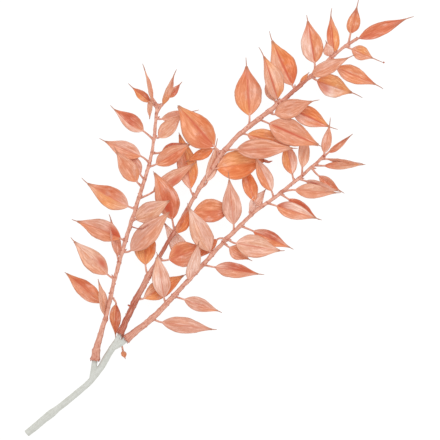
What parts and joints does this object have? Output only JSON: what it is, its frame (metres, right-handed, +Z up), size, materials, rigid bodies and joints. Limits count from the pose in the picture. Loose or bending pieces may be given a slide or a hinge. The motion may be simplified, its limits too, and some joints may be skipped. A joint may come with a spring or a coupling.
{
  "type": "dried ruscus stem",
  "caption": "Dried ruscus spray lying flat: a pale cut stem that forks into arms, each with a long orange frond of pointed papery leaves pushed over it.",
  "frame": {"origin": "under the middle of the bounding box, on the surface the spray lies on", "axes": "+Z up, away from the surface; +Y along the spray from its cut end to the tip of the middle frond; +X to the right, seen from above with +Y away"},
  "size_m": [0.2091, 0.5004, 0.0362],
  "materials": {
    "orange_foliage": "dry, papery leaf with fine lengthwise veins, slightly translucent, peach to deep orange",
    "pale_bark": "matte, pale grey-cream, faint lengthwise grain"
  },
  "bodies": {
    "root": {"pale_stem": "pale_bark", "left_frond": "orange_foliage", "middle_frond": "orange_foliage", "right_frond": "orange_foliage"}
  },
  "joints": []
}
